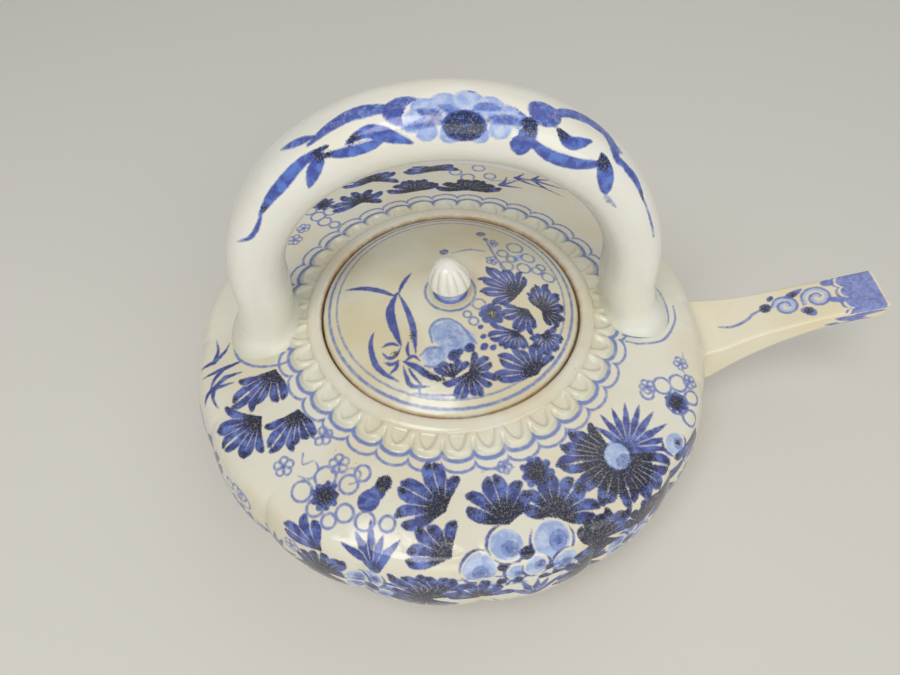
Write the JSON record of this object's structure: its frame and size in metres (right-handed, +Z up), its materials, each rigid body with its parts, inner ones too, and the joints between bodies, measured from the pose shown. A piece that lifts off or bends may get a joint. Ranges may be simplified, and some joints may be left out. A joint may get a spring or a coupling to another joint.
{
  "type": "teapot",
  "caption": "Low round glazed teapot with a lobed side, a domed shoulder, an overhead arch handle, a straight spout and a lift-off lid with a bud knob.",
  "frame": {"origin": "on the table, under the middle of the whole pot's length and width; the pot's own upright axis is 25.98 mm from it towards -X", "axes": "+Z up, +X from the handle's left leg towards the tip of the spout, +Y across"},
  "size_m": [0.208, 0.156, 0.1229],
  "materials": {
    "body_glaze": "porcelain under a warm cream glaze with cobalt blue painting, glossy and opaque",
    "spout_glaze": "porcelain under a cream glaze with cobalt blue scrolls, glossy and opaque",
    "handle_glaze": "porcelain under a grey-white glaze with cobalt blue painting, glossy and opaque",
    "lid_glaze": "porcelain under a pale glaze with cobalt blue painting, glossy and opaque",
    "blue_glaze": "porcelain under a glaze washed with cobalt blue, glossy and opaque",
    "bare_clay": "unglazed porcelain biscuit, matt and opaque"
  },
  "bodies": {
    "pot": {"body_bowl": "body_glaze", "body_shoulder": "body_glaze", "foot_ring": "bare_clay", "lid_seat": "body_glaze", "petal_collar": "body_glaze", "spout_trough": "spout_glaze", "spout_cover": "spout_glaze", "handle_strap": "handle_glaze", "handle_foot_left": "handle_glaze", "handle_foot_right": "handle_glaze"},
    "lid": {"lid_dome": "lid_glaze", "lid_flange": "bare_clay", "knob_stem": "blue_glaze", "knob_bud": "handle_glaze"}
  },
  "joints": [
    {"name": "lid_lift", "type": "slide", "parent": "pot", "child": "lid", "axis": [0, 0, 1], "range_m": [0, 0.03]}
  ]
}
